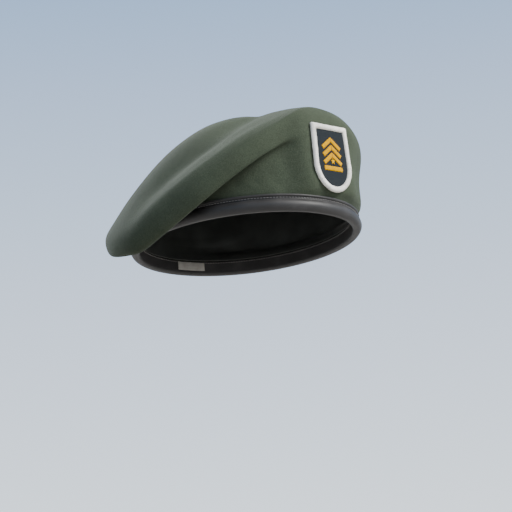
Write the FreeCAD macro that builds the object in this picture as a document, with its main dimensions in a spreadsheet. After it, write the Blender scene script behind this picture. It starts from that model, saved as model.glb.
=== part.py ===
import FreeCAD, Part
import Sketcher
import math
import os

# Military wool beret: fulled-wool crown pulled down over the wearer's right side,
# leather edge binding with a draw ribbon in its channel, a light lining, and a
# stiffened cloth flash with embroidery at the front left.
# Frame: +Z up, wearer's front -Y, wearer's left +X; the origin is the centre of the
# head opening, on the plane of the binding's lower edge. All sizes in millimetres.

os.makedirs("parts", exist_ok=True)
doc = FreeCAD.newDocument("beret")

# ---------------------------------------------------------------- driving dimensions
DIMENSIONS = [
    # crown felt: the foot is the part caught inside the binding
    ("foot_half_width", 82.6), ("foot_half_length", 103.1), ("foot_level", 3.0),
    ("wall_top_level", 13.5), ("felt_thick", 2.2),
    # free edge of the crown, draped side and upright side
    ("drape_edge_level", -19.2), ("upright_edge_level", 56.2), ("tuck_rise", 24.0),
    ("drape_overhang", 28.7), ("upright_overhang", 6.6),
    ("drape_edge_round", 11.6), ("upright_edge_round", 13.0),
    # direction of the drape, degrees counter-clockwise from the wearer's left
    ("drape_direction", 192.6), ("drape_front_start", -9.7), ("drape_front_end", 81.4),
    ("drape_back_start", -6.0), ("drape_back_end", 128.0),
    # where the wall under the drape turns into the upright wall, from that direction
    ("hang_front_start", 61.0), ("hang_front_end", 88.3),
    ("hang_back_start", 66.0), ("hang_back_end", 128.0),
    # top of the crown and its two soft folds
    ("crest_across", 9.5), ("crest_along", -12.6), ("crest_level", 100.5),
    ("upright_fullness", 1.5), ("drape_fullness", 2.5),
    ("ridge_height", 3.8), ("valley_depth", 5.2),
    # lining
    ("lining_gap", 0.5), ("lining_thick", 0.5), ("lining_start", 0.068),
    ("lining_seam", 0.52), ("lining_seam_gap", 0.0012), ("lining_flash_slack", 1.6),
    # leather binding section, measured outward from the felt's outer face
    ("leather_thick", 1.1), ("leather_gap", 0.3), ("inner_leg_level", 11.8),
    ("roll_start_out", 0.8), ("roll_end_out", 1.4), ("roll_end_level", 9.2),
    ("roll_radius", 5.2), ("groove_level", 10.6), ("lip_out", 2.5),
    ("lip_low_level", 11.3), ("lip_level", 13.0), ("bottom_round", 2.4),
    ("butt_gap", 0.4),
    # draw ribbon in the binding's channel
    ("ribbon_out", 0.8), ("ribbon_thick", 0.8), ("ribbon_low", 2.4), ("ribbon_tall", 4.6),
    # binding stitches
    ("stitch_pitch", 2.3), ("stitch_long", 1.6), ("stitch_tall", 0.5), ("stitch_thick", 0.4),
    ("stitch_level", 10.3),
    # blank size label on the inner leg of the binding, at the back
    ("label_long", 26.0), ("label_low", 3.6), ("label_tall", 7.0), ("label_thick", 0.3),
    # flash: a shield of cloth, flat on the stiffened felt
    ("flash_across", 21.2), ("flash_along", -104.7), ("flash_level", 42.0),
    ("flash_turn", 19.5), ("flash_lean", 0.5), ("flash_roll", 3.8),
    ("flash_half_width", 20.6), ("flash_half_height", 25.75), ("flash_top_in", 1.0),
    ("flash_lift", 0.35), ("border_wide", 3.9), ("border_thick", 2.8), ("border_round", 0.7),
    ("backing_thick", 0.6), ("ground_thick", 0.6), ("cloth_gap", 0.1),
    ("stiffener_thick", 0.8), ("stiffener_margin", 1.5),
    # embroidery on the flash, levels measured up from the flash's centre
    ("thread_thick", 0.6), ("chevron_half_span", 10.9), ("chevron_stroke", 4.0),
    ("chevron_rise", 7.5), ("chevron_end_in", 1.8), ("chevron_end_drop", 2.7),
    ("chevron_pitch", 5.9), ("chevron_top", 16.6),
    ("star_level", -2.4), ("star_outer", 2.7), ("star_inner", 1.15),
    ("bar_half_long", 10.3), ("bar_level", -7.9), ("bar_half_tall", 1.9),
    ("embroidery_round", 0.2),
    ("tack_count", 26), ("tack_long", 1.0),
]
RING_POINTS = 64                      # control points round the crown
FACE_STEPS = (0.955, 0.89, 0.81, 0.71, 0.59, 0.46, 0.33, 0.20, 0.09, 0.025)
UPRIGHT_PROFILE = (                   # outward distance and level, upright side
    (0.0, 3.0), (0.0, 6.0), (0.0, 11.5), (0.3, 14.8), (5.1, 18.7), (4.9, 25.5),
    (4.2, 36.0), (5.9, 47.0), (8.0, 57.0), (7.7, 67.3), (4.1, 76.6), (-2.2, 84.2),
)

sheet = doc.addObject("Spreadsheet::Sheet", "dims")
for row, (name, value) in enumerate(DIMENSIONS, start=1):
    sheet.set("A%d" % row, name)
    sheet.set("B%d" % row, str(value))
    sheet.setAlias("B%d" % row, name)
doc.recompute()


class Sizes:
    """Sheet values by name."""

    def __getattr__(self, name):
        return float(sheet.get(name))


size = Sizes()


# ---------------------------------------------------------------- crown control net
def blend(low, high, x):
    """Smooth step from 0 at low to 1 at high."""
    k = min(max((x - low) / (high - low), 0.0), 1.0)
    return k * k * (3.0 - 2.0 * k)


def mix(first, second, k):
    return first + (second - first) * k


def side_weight(turn, kind):
    """1 on the draped side, fading to 0 towards the front and the back.

    The kind is "drape" for how low the free edge hangs, "hang" for the wall's shape."""
    away = (turn - size.drape_direction + 180.0) % 360.0 - 180.0
    side = "front" if away >= 0.0 else "back"
    start, end = getattr(size, f"{kind}_{side}_start"), getattr(size, f"{kind}_{side}_end")
    return 1.0 - blend(start, end, abs(away))


def fold_lift(turn, step):
    """Height of the soft ridge and valley that run along the draped side."""
    window = blend(176.0, 200.0, turn) * (1.0 - blend(230.0, 270.0, turn))
    along = min(max((turn - 184.0) / 52.0, 0.0), 1.3)
    ridge = math.exp(-((step - 0.985 + 0.07 * along) / 0.07) ** 2)
    valley = math.exp(-((step - 0.90 + 0.40 * along) / 0.13) ** 2)
    return window * (size.ridge_height * ridge - size.valley_depth * valley)


def flash_axes():
    """Right, up and outward directions of the flash."""
    turn, lean, roll = (math.radians(a) for a in (size.flash_turn, size.flash_lean, size.flash_roll))
    side = FreeCAD.Vector(math.cos(turn), math.sin(turn), 0)
    out = FreeCAD.Vector(math.sin(turn) * math.cos(lean), -math.cos(turn) * math.cos(lean),
                         math.sin(lean))
    rise = out.cross(side)
    right = side * math.cos(roll) + rise * math.sin(roll)
    return right, out.cross(right), out


def flash_centre():
    return FreeCAD.Vector(size.flash_across, size.flash_along, size.flash_level)


def flash_window(point):
    """1 on the felt the flash stiffener flattens, fading to 0 round it."""
    right, up, _ = flash_axes()
    offset = point - flash_centre()
    across, above = abs(offset.dot(right)), offset.dot(up)
    return ((1.0 - blend(22.0, 36.0, across)) * (1.0 - blend(26.0, 38.0, above))
            * (1.0 - blend(22.0, 31.0, -above)) * (1.0 if point.y < 0 else 0.0))


def draped_profile(weight):
    """Outward distance and level of the control rows where the crown hangs."""
    edge = mix(size.upright_edge_level, size.drape_edge_level, weight)
    tuck = size.tuck_rise * blend(0.0, 0.6, weight)
    over = mix(size.upright_overhang, size.drape_overhang, weight)
    rounding = mix(size.upright_edge_round, size.drape_edge_round, weight)
    base = size.wall_top_level
    climb = max(edge + tuck, base + 2.5) - base
    return (
        (0.0, size.foot_level), (0.0, size.foot_level + 3.0), (0.0, base - 2.0),
        (0.4, base + 1.3), (0.08 * over, base + 0.4 * climb),
        (0.14 * over, base + 0.65 * climb), (0.22 * over, base + 0.95 * climb),
        (0.40 * over, edge + 0.5 * tuck), (0.60 * over, edge + 0.06 * tuck),
        (0.86 * over, edge), (over, edge + 0.6 * rounding),
        (1.02 * over, edge + 1.35 * rounding),
    )


def crown_column(turn):
    """Control points of the outer felt face from the foot to the crest, at one azimuth."""
    angle = math.radians(turn)
    foot = FreeCAD.Vector(size.foot_half_width * math.cos(angle),
                          size.foot_half_length * math.sin(angle), 0)
    weight = side_weight(turn, "drape")
    draped = side_weight(turn, "hang")
    column = []
    for stand, hang in zip(UPRIGHT_PROFILE, draped_profile(weight)):
        outward = mix(stand[0], hang[0], draped)
        level = mix(stand[1], hang[1], draped)
        point = foot * (1.0 + outward / foot.Length)
        column.append(FreeCAD.Vector(point.x, point.y, level))
    rim = column[-1]
    crest = FreeCAD.Vector(size.crest_across, size.crest_along, size.crest_level)
    fullness = mix(size.upright_fullness, size.drape_fullness, weight)
    for step in FACE_STEPS:
        flat = crest + (rim - crest) * step
        level = crest.z + (rim.z - crest.z) * step ** fullness + fold_lift(turn, step)
        if step == FACE_STEPS[-1]:
            level = crest.z
        column.append(FreeCAD.Vector(flat.x, flat.y, level))
    return column


def flatten_under_flash(point):
    out = flash_axes()[2]
    return point - out * ((point - flash_centre()).dot(out) * flash_window(point))


def outer_net():
    columns = [crown_column(360.0 * k / RING_POINTS) for k in range(RING_POINTS)]
    return [[flatten_under_flash(p) for p in column] for column in columns]


def net_normals(net):
    count, rows = len(net), len(net[0])
    normals = []
    for i in range(count):
        line = []
        for j in range(rows):
            around = net[(i + 1) % count][j] - net[i - 1][j]
            along = net[i][min(j + 1, rows - 1)] - net[i][max(j - 1, 0)]
            line.append(around.cross(along).normalize())
        line[0] = FreeCAD.Vector(line[0].x, line[0].y, 0).normalize()
        line[-1] = FreeCAD.Vector(0, 0, 1)
        normals.append(line)
    return normals


def inset_net(net, depth, flash_depth=0.0):
    """The net moved inward by a depth, and further behind the flash."""
    normals = net_normals(net)
    return [[p - n * (depth + flash_depth * flash_window(p)) for p, n in zip(column, line)]
            for column, line in zip(net, normals)]


def net_surface(net):
    """Cubic surface over the net, closed round the head, clamped from foot to crest."""
    count, rows = len(net), len(net[0])
    surface = Part.BSplineSurface()
    surface.buildFromPolesMultsKnots(
        net, [1] * (count + 1), [4] + [1] * (rows - 4) + [4],
        [float(k) for k in range(count + 1)], [k / (rows - 3.0) for k in range(rows - 2)],
        True, False, 3, 3)
    return surface


def ring_edge(surface, v):
    return surface.vIso(v).toShape()


def layer_solid(outer, inner, v_start, v_end):
    """Closed solid between two crown surfaces, from one row parameter to another."""
    u_start, u_end = 0.0, float(RING_POINTS)
    faces = [s.toShape(u_start, u_end, v_start, v_end) for s in (outer, inner)]
    faces.append(Part.makeRuledSurface(ring_edge(outer, v_start), ring_edge(inner, v_start)))
    if v_end < 1.0:
        faces.append(Part.makeRuledSurface(ring_edge(outer, v_end), ring_edge(inner, v_end)))
    else:
        faces += [Part.Face(Part.Wire(ring_edge(s, 1.0))) for s in (outer, inner)]
    shell = Part.makeShell(faces)
    shell.sewShape()
    solid = Part.makeSolid(shell)
    if solid.Volume < 0:
        solid.reverse()
    return solid


nodes = []


def keep(obj, label, placement=None):
    obj.Label = label
    obj.Placement = placement or FreeCAD.Placement()
    nodes.append(obj)
    return obj


def feature(label, shape):
    obj = doc.addObject("Part::Feature", label)
    obj.Shape = shape
    return keep(obj, label)


felt_net = outer_net()
felt_outer = net_surface(felt_net)
felt_inner = net_surface(inset_net(felt_net, size.felt_thick))
lining_depth = size.felt_thick + size.lining_gap
lining_outer = net_surface(inset_net(felt_net, lining_depth, size.lining_flash_slack))
lining_inner = net_surface(inset_net(felt_net, lining_depth + size.lining_thick,
                                     size.lining_flash_slack))
seam_low = size.lining_seam - size.lining_seam_gap
seam_high = size.lining_seam + size.lining_seam_gap

feature("crown_shell", layer_solid(felt_outer, felt_inner, 0.0, 1.0))
feature("lining_side", layer_solid(lining_outer, lining_inner, size.lining_start, seam_low))
feature("lining_top", layer_solid(lining_outer, lining_inner, seam_high, 1.0))


# ---------------------------------------------------------------- sketch helpers
def total(combo):
    """Value of a sum of named sizes, given as {name: factor}."""
    return sum(factor * getattr(size, name) for name, factor in combo.items())


def formula(combo):
    return " + ".join("(%.9g) * dims.%s" % (factor, name) for name, factor in combo.items())


def bind(sketch, index, combo):
    sketch.setExpression("Constraints[%d]" % index, formula(combo))


def new_sketch(body, name, plane):
    sketch = body.newObject("Sketcher::SketchObject", name)
    origin = [f for f in body.Origin.OriginFeatures if f.Role == plane][0]
    sketch.AttachmentSupport = [(origin, "")]
    sketch.MapMode = "FlatFace"
    return sketch


def pin(sketch, geometry, end, x, y):
    """Tie one end of a curve to a position given as two sums of sizes."""
    for kind, combo in (("DistanceX", x), ("DistanceY", y)):
        constraint = Sketcher.Constraint(kind, -1, 1, geometry, end, total(combo))
        bind(sketch, sketch.addConstraint(constraint), combo)


def arc_between(start, middle, stop):
    """Arc through three points, drawn leftward, and whether the points run that way."""
    circle = Part.Circle(start, middle, stop)
    centre = circle.Center
    leftward = (middle - start).cross(stop - middle).z > 0
    first, last = (start, stop) if leftward else (stop, start)
    low = math.atan2(first.y - centre.y, first.x - centre.x)
    high = math.atan2(last.y - centre.y, last.x - centre.x)
    if high < low:
        high += 2.0 * math.pi
    upward = Part.Circle(centre, FreeCAD.Vector(0, 0, 1), circle.Radius)
    return Part.ArcOfCircle(upward, low, high), leftward


def loop(sketch, corners, arcs=None):
    """Closed outline through pinned corners.

    Arcs are given as {side: (kind, size, middle point)}: the size is the arc's radius, or
    for a half round the level of its centre."""
    arcs = arcs or {}
    points = [FreeCAD.Vector(total(x), total(y), 0) for x, y in corners]
    first = sketch.GeometryCount
    ends = []
    for k, start in enumerate(points):
        stop = points[(k + 1) % len(points)]
        if k in arcs:
            middle = FreeCAD.Vector(total(arcs[k][2][0]), total(arcs[k][2][1]), 0)
            curve, leftward = arc_between(start, middle, stop)
            sketch.addGeometry(curve, False)
            ends.append((1, 2) if leftward else (2, 1))
        else:
            sketch.addGeometry(Part.LineSegment(start, stop), False)
            ends.append((1, 2))
    for k in range(len(points)):
        after = (k + 1) % len(points)
        sketch.addConstraint(Sketcher.Constraint("Coincident", first + k, ends[k][1],
                                                 first + after, ends[after][0]))
    for k, (x, y) in enumerate(corners):
        pin(sketch, first + k, ends[k][0], x, y)
    for k, (kind, combo, _) in arcs.items():
        if kind == "radius":
            constraint = Sketcher.Constraint("Radius", first + k, total(combo))
        else:
            constraint = Sketcher.Constraint("DistanceY", -1, 1, first + k, 3, total(combo))
        bind(sketch, sketch.addConstraint(constraint), combo)


def oval_spine(body, name, grow, start, stop):
    """Oval path round the head opening, grow outside the felt, between two angles.

    Angles run from the back of the head; the path is the felt's foot oval offset."""
    sketch = new_sketch(body, name, "XY_Plane")
    half_long = {"foot_half_length": 1.0}
    half_wide = {"foot_half_width": 1.0}
    half_long.update(grow)
    half_wide.update(grow)
    ellipse = Part.Ellipse(FreeCAD.Vector(0, total(half_long), 0),
                           FreeCAD.Vector(-total(half_wide), 0, 0), FreeCAD.Vector(0, 0, 0))
    arc = Part.ArcOfEllipse(ellipse, start, stop)
    index = sketch.addGeometry(arc, False)
    sketch.exposeInternalGeometry(index)
    long_axis, wide_axis = index + 1, index + 2
    sketch.addConstraint(Sketcher.Constraint("Coincident", index, 3, -1, 1))
    sketch.addConstraint(Sketcher.Constraint("Vertical", long_axis))
    for axis, half in ((long_axis, half_long), (wide_axis, half_wide)):
        full = {name_: 2.0 * factor for name_, factor in half.items()}
        constraint = Sketcher.Constraint("Distance", axis, total(full))
        bind(sketch, sketch.addConstraint(constraint), full)
    for end, angle in ((1, start), (2, stop)):
        point = ellipse.value(angle)
        sketch.addConstraint(Sketcher.Constraint("DistanceX", -1, 1, index, end, point.x))
    return sketch


def pipe(body, name, profile, spine):
    pipe_feature = body.newObject("PartDesign::AdditivePipe", name)
    pipe_feature.Profile = profile
    pipe_feature.Spine = (spine, ["Edge1"])
    pipe_feature.Mode = "Standard"
    return pipe_feature


def at(*terms):
    """Sum of sizes from (name, factor) pairs; the factor is 1 when left out."""
    combo = {}
    for term in terms:
        name, factor = term if isinstance(term, tuple) else (term, 1.0)
        combo[name] = combo.get(name, 0.0) + factor
    return combo


# ---------------------------------------------------------------- leather binding
FULL_TURN = 2.0 * math.pi
butt_angle = size.butt_gap / size.foot_half_width
binding = doc.addObject("PartDesign::Body", "leather_binding")
spine = oval_spine(binding, "binding_path", {}, 0.0, FULL_TURN - butt_angle)
section = new_sketch(binding, "binding_section", "YZ_Plane")


def out(*terms):
    """Distance from the head's centre at the back: the foot oval plus some sizes."""
    return at("foot_half_length", *terms)


inner_face = (("felt_thick", -1.0), ("leather_gap", -1.0), ("leather_thick", -1.0))
inner_back = (("felt_thick", -1.0), ("leather_gap", -1.0))
outline = [
    (out(*inner_face), at("inner_leg_level")),
    (out(*inner_face), at("bottom_round")),
    (out(*inner_face, "bottom_round"), at(("bottom_round", 0.0))),
    (out("roll_start_out"), at(("bottom_round", 0.0))),
    (out("roll_end_out"), at("roll_end_level")),
    (out("roll_end_out"), at("groove_level")),
    (out("lip_out"), at("lip_low_level")),
    (out("lip_out"), at(("lip_level", 1.0), ("leather_gap", -1.5))),
    (out(("lip_out", 0.8)), at("lip_level")),
    (out(("lip_out", 0.55)), at("lip_level")),
    (out("leather_gap"), at(("lip_low_level", 1.0), "leather_gap")),
    (out("leather_gap"), at(("roll_end_level", 1.0), ("leather_gap", -1.0))),
    (out("roll_start_out"), at("leather_thick")),
    (out(*inner_face, "bottom_round"), at("leather_thick")),
    (out(*inner_back), at("bottom_round")),
    (out(*inner_back), at("inner_leg_level")),
]
round_middle = math.sqrt(0.5)
arcs = {
    1: ("radius", at("bottom_round"),
        (out(*inner_face, ("bottom_round", 1.0 - round_middle)),
         at(("bottom_round", 1.0 - round_middle)))),
    3: ("radius", at("roll_radius"), (out(("roll_end_out", 2.9)), at(("roll_end_level", 0.5)))),
    11: ("radius", at(("roll_radius", 1.0), ("leather_thick", -0.55)),
         (out(("roll_end_out", 2.1)), at(("roll_end_level", 0.5)))),
    13: ("radius", at(("bottom_round", 1.0), ("leather_thick", -1.0)),
         (out(*inner_back, ("bottom_round", 1.0 - round_middle), ("leather_thick", -0.3)),
          at(("bottom_round", 1.0 - round_middle), ("leather_thick", 0.7)))),
}
loop(section, outline, arcs)
pipe(binding, "binding_sweep", section, spine)
keep(binding, "leather_binding")


def swept_strip(label, grow, thick, low, tall, start, stop):
    """Flat strip on edge, following the head opening between two angles from the back."""
    body = doc.addObject("PartDesign::Body", label)
    path = oval_spine(body, label + "_path", grow, start, stop)
    strip = new_sketch(body, label + "_section", "YZ_Plane")
    near = at("foot_half_length", *grow.items())
    far = at("foot_half_length", *grow.items(), thick)
    top = at(low, tall)
    loop(strip, [(near, at(low)), (far, at(low)), (far, top), (near, top)])
    pipe(body, label + "_sweep", strip, path)
    return keep(body, label)


swept_strip("draw_ribbon", {"ribbon_out": 1.0}, "ribbon_thick", "ribbon_low", "ribbon_tall",
            0.0, FULL_TURN - 2.0 * butt_angle)

label_angle = 0.5 * size.label_long / (size.foot_half_width - size.felt_thick)
swept_strip("size_label",
            {"felt_thick": -1.0, "leather_gap": -1.0, "leather_thick": -1.0, "label_thick": -1.2},
            "label_thick", "label_low", "label_tall", -label_angle, label_angle)


# ---------------------------------------------------------------- binding stitches
def oval_frame(grow, angle):
    """Point on the head oval grown outward, with its outward and along directions."""
    half_wide, half_long = size.foot_half_width, size.foot_half_length
    outward = FreeCAD.Vector(half_long * math.cos(angle), half_wide * math.sin(angle), 0)
    outward.normalize()
    point = FreeCAD.Vector(half_wide * math.cos(angle), half_long * math.sin(angle), 0)
    return point + outward * grow, outward, FreeCAD.Vector(-outward.y, outward.x, 0)


def even_angles(spacing):
    """Angles that step round the head oval by equal lengths, from the back seam."""
    fine = 7200
    angles = [math.pi / 2 + FULL_TURN * k / fine for k in range(fine + 1)]
    places = [oval_frame(0.0, angle)[0] for angle in angles]
    run = [0.0]
    for first, second in zip(places, places[1:]):
        run.append(run[-1] + (second - first).Length)
    count = int(run[-1] / spacing)
    chosen, k = [], 0
    for n in range(count):
        goal = run[-1] * (n + 0.5) / count
        while run[k] < goal:
            k += 1
        chosen.append(angles[k])
    return chosen


def stitch_row(label, grow):
    """Row of short flat stitches lying on the leather, grow outside the head oval."""
    stitches = []
    for angle in even_angles(size.stitch_pitch):
        place, outward, along = oval_frame(grow, angle)
        box = Part.makeBox(size.stitch_long, size.stitch_thick, size.stitch_tall)
        box.translate(FreeCAD.Vector(-size.stitch_long / 2, 0, -size.stitch_tall / 2))
        turn = FreeCAD.Rotation(along * -1.0, outward, FreeCAD.Vector(0, 0, 1), "XYZ")
        box.Placement = FreeCAD.Placement(
            FreeCAD.Vector(place.x, place.y, size.stitch_level), turn).multiply(box.Placement)
        stitches.append(box)
    return feature(label, Part.makeCompound(stitches))


inner_face_out = -(size.felt_thick + size.leather_gap + size.leather_thick)
stitch_row("binding_stitches_outer", size.roll_end_out + 0.1)
stitch_row("binding_stitches_inner", inner_face_out - size.stitch_thick - 0.1)


# ---------------------------------------------------------------- flash and embroidery
flash_right, flash_up, flash_out = flash_axes()
flash_turned = FreeCAD.Rotation(flash_right, flash_up, flash_out, "XYZ")


def on_flash(label, outlines, lift, thick, rounding=None):
    """Flat cloth or thread piece on the flash: outlines padded outward from a lift."""
    body = doc.addObject("PartDesign::Body", label)
    sketch = new_sketch(body, label + "_outline", "XY_Plane")
    for corners, arcs in outlines:
        loop(sketch, corners, arcs)
    pad = body.newObject("PartDesign::Pad", label + "_pad")
    pad.Profile = sketch
    pad.setExpression("Length", "dims." + thick)
    doc.recompute()
    if rounding:
        top = total(at(thick))
        edges = ["Edge%d" % (n + 1) for n, edge in enumerate(pad.Shape.Edges)
                 if all(abs(v.Z - top) < 1e-6 for v in edge.Vertexes)]
        fillet = body.newObject("PartDesign::Fillet", label + "_round")
        fillet.Base = (pad, edges)
        fillet.setExpression("Radius", "dims." + rounding)
    base = flash_centre() + flash_out * lift
    return keep(body, label, FreeCAD.Placement(base, flash_turned))


def shield(shrink):
    """Flash outline drawn in by some sizes: narrower straight top, half-round foot."""
    inward = [(name, -factor) for name, factor in shrink.items()]
    outward = list(shrink.items())
    side = at("flash_half_width", *inward)
    other = at(("flash_half_width", -1.0), *outward)
    side_top = at("flash_half_width", ("flash_top_in", -1.0), *inward)
    other_top = at(("flash_half_width", -1.0), "flash_top_in", *outward)
    top = at("flash_half_height", *inward)
    level = at(("flash_half_height", -1.0), "flash_half_width")
    foot = at(("flash_half_height", -1.0), *outward)
    corners = [(other_top, top), (other, level), (side, level), (side_top, top)]
    return corners, {1: ("level", level, (at(("flash_half_width", 0.0)), foot))}


whole = shield({})
inside = shield({"border_wide": 1.0, "cloth_gap": 1.0})
hole = shield({"border_wide": 1.0})
base_lift = size.flash_lift
ground_lift = base_lift + size.backing_thick
thread_lift = ground_lift + size.ground_thick
on_flash("flash_backing", [inside], base_lift, "backing_thick")
on_flash("flash_ground", [inside], ground_lift, "ground_thick")
on_flash("flash_border", [whole, hole], base_lift, "border_thick", "border_round")


def chevron(label, drop):
    """One chevron: two satin-stitch arms rising to a point."""
    peak = ("chevron_top", ("chevron_pitch", -drop))
    middle = at(("chevron_half_span", 0.0))
    high, low = at(*peak), at(*peak, ("chevron_stroke", -1.0))
    end_top = at(*peak, ("chevron_rise", -1.0))
    end_low = at(*peak, ("chevron_rise", -1.0), ("chevron_end_drop", -1.0))
    right, right_in = at("chevron_half_span"), at("chevron_half_span", ("chevron_end_in", -1.0))
    left = at(("chevron_half_span", -1.0))
    left_in = at(("chevron_half_span", -1.0), "chevron_end_in")
    corners = [(middle, high), (right, end_top), (right_in, end_low), (middle, low),
               (left_in, end_low), (left, end_top)]
    return on_flash(label, [(corners, None)], thread_lift, "thread_thick", "embroidery_round")


for drop, label in enumerate(("chevron_upper", "chevron_middle", "chevron_lower")):
    chevron(label, drop)

star_corners = []
for k in range(10):
    angle = math.pi / 2 + k * math.pi / 5
    reach = "star_outer" if k % 2 == 0 else "star_inner"
    star_corners.append((at((reach, math.cos(angle))),
                         at("star_level", (reach, math.sin(angle)))))
on_flash("flash_star", [(star_corners, None)], thread_lift, "thread_thick")

bar_right, bar_left = at("bar_half_long"), at(("bar_half_long", -1.0))
bar_high = at("bar_level", "bar_half_tall")
bar_low = at("bar_level", ("bar_half_tall", -1.0))
on_flash("flash_bar", [([(bar_left, bar_low), (bar_right, bar_low), (bar_right, bar_high),
                         (bar_left, bar_high)], None)],
         thread_lift, "thread_thick", "embroidery_round")
on_flash("flash_stiffener", [shield({"stiffener_margin": 1.0})],
         -(size.felt_thick + size.flash_lift + size.stiffener_thick), "stiffener_thick")


def flash_tacks():
    """Short hand stitches that hold the flash's rim to the felt."""
    frame = FreeCAD.Placement(flash_centre(), flash_turned)
    corners, arc = whole
    sides = [FreeCAD.Vector(total(x), total(y), 0) for x, y in corners]
    middle = FreeCAD.Vector(0, total(arc[1][2][1]), 0)
    wire = Part.Wire([
        Part.makeLine(sides[0], sides[1]),
        Part.Arc(sides[1], middle, sides[2]).toShape(),
        Part.makeLine(sides[2], sides[3]), Part.makeLine(sides[3], sides[0])])
    rim = wire.makeOffset2D(0.1)
    tacks = []
    for place in rim.discretize(Number=int(size.tack_count) + 1)[:-1]:
        outward = FreeCAD.Vector(place.x, place.y, 0)
        if abs(place.y - sides[0].y) < 0.5:
            outward = FreeCAD.Vector(0, 1, 0)
        elif place.y > sides[1].y:
            outward = FreeCAD.Vector(math.copysign(1.0, place.x), 0, 0)
        outward.normalize()
        along = FreeCAD.Vector(0, 0, 1).cross(outward)
        box = Part.makeBox(size.tack_long, size.stitch_tall, size.stitch_thick)
        box.translate(FreeCAD.Vector(0, -size.stitch_tall / 2, 0.1))
        turn = FreeCAD.Rotation(outward, along, FreeCAD.Vector(0, 0, 1), "XYZ")
        box.Placement = FreeCAD.Placement(place, turn).multiply(box.Placement)
        box.Placement = frame.multiply(box.Placement)
        tacks.append(box)
    return feature("flash_tacks", Part.makeCompound(tacks))


flash_tacks()

# ---------------------------------------------------------------- checks and export
doc.recompute()
for obj in doc.Objects:
    if "Invalid" in obj.State or "Error" in obj.State:
        raise RuntimeError("%s is %s" % (obj.Name, obj.State))
for obj in nodes:
    shape = obj.Shape
    if shape.isNull() or not shape.isValid() or shape.Volume <= 0:
        raise RuntimeError("%s has no valid solid" % obj.Label)
    print("%-24s solids %3d  volume %9.1f" % (obj.Label, len(shape.Solids), shape.Volume))
    shape.exportStep("parts/%s.step" % obj.Label)
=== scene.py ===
import math

import bpy
import numpy as np
from mathutils import Matrix, Vector


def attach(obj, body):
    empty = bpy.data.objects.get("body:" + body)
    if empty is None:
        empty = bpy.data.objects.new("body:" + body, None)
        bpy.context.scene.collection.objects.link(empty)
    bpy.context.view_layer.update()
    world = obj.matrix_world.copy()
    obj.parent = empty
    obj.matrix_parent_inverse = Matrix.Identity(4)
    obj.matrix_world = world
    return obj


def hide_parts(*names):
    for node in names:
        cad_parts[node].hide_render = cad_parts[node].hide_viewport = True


# Looks of the beret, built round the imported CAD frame: +Z up, the wearer's front -Y and
# left +X, origin at the centre of the head opening. Shapes are worked out in millimetres
# and scaled to metres as each mesh is made.

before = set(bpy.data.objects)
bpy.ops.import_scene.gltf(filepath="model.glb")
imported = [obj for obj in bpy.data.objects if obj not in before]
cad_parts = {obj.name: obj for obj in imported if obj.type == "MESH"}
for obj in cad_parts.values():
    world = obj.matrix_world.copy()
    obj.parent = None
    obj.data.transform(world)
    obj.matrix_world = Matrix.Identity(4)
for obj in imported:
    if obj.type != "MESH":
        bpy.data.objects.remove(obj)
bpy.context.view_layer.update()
MM = 0.001
ROOT = "root"

# ------------------------------------------------------------------ crown form
FOOT_HALF_WIDTH, FOOT_HALF_LENGTH = 82.6, 103.1
FOOT_LEVEL, WALL_TOP = 3.0, 13.5
FELT_THICK = 2.2
DRAPE_EDGE_LEVEL, UPRIGHT_EDGE_LEVEL = -19.2, 56.2
TUCK_RISE = 24.0
DRAPE_OVERHANG, UPRIGHT_OVERHANG = 28.7, 6.6
DRAPE_EDGE_ROUND, UPRIGHT_EDGE_ROUND = 11.6, 13.0
DRAPE_DIRECTION = 192.6
DRAPE_FRONT, DRAPE_BACK = (-9.7, 81.4), (-6.0, 128.0)
HANG_FRONT, HANG_BACK = (61.0, 88.3), (66.0, 128.0)
CREST = np.array((9.5, -12.6, 100.5))
UPRIGHT_FULLNESS, DRAPE_FULLNESS = 1.5, 2.5
RIDGE_HEIGHT, VALLEY_DEPTH = 3.8, 5.2
FOLD_WINDOW = (176.0, 200.0, 230.0, 270.0)
FOLD_START, FOLD_SPREAD, FOLD_LIMIT = 184.0, 52.0, 1.3
RIDGE_PLACE, RIDGE_SLIDE, RIDGE_WIDE = 0.985, 0.07, 0.07
VALLEY_PLACE, VALLEY_SLIDE, VALLEY_WIDE = 0.90, 0.40, 0.13
RING_POINTS = 64
FACE_STEPS = (0.955, 0.89, 0.81, 0.71, 0.59, 0.46, 0.33, 0.20, 0.09, 0.025)
UPRIGHT_PROFILE = (
    (0.0, 3.0), (0.0, 6.0), (0.0, 11.5), (0.3, 14.8), (5.1, 18.7), (4.9, 25.5),
    (4.2, 36.0), (5.9, 47.0), (8.0, 57.0), (7.7, 67.3), (4.1, 76.6), (-2.2, 84.2),
)

# ------------------------------------------------------------------ flash
FLASH_CENTRE = np.array((21.2, -104.7, 42.0))
FLASH_TURN, FLASH_LEAN, FLASH_ROLL = 19.5, 0.5, 3.8
FLASH_HALF_WIDTH, FLASH_HALF_HEIGHT, FLASH_TOP_IN = 20.6, 25.75, 1.0
FLASH_LIFT, BORDER_WIDE, BORDER_THICK = 0.35, 3.9, 2.8
CLOTH_THICK, THREAD_THICK = 0.6, 0.6
# Distances from the flash's centre where the flattened felt starts and ends fading.
FLAT_ACROSS, FLAT_ABOVE, FLAT_BELOW = (22.0, 36.0), (26.0, 38.0), (22.0, 31.0)


def blend(low, high, x):
    """Smooth step from 0 at low to 1 at high."""
    k = np.clip((np.asarray(x, float) - low) / (high - low), 0.0, 1.0)
    return k * k * (3.0 - 2.0 * k)


def bell(x, wide):
    return np.exp(-(x / wide) ** 2)


def mix(first, second, k):
    return first + (second - first) * k


def unit(vectors):
    return vectors / np.maximum(np.linalg.norm(vectors, axis=-1, keepdims=True), 1e-9)


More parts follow.
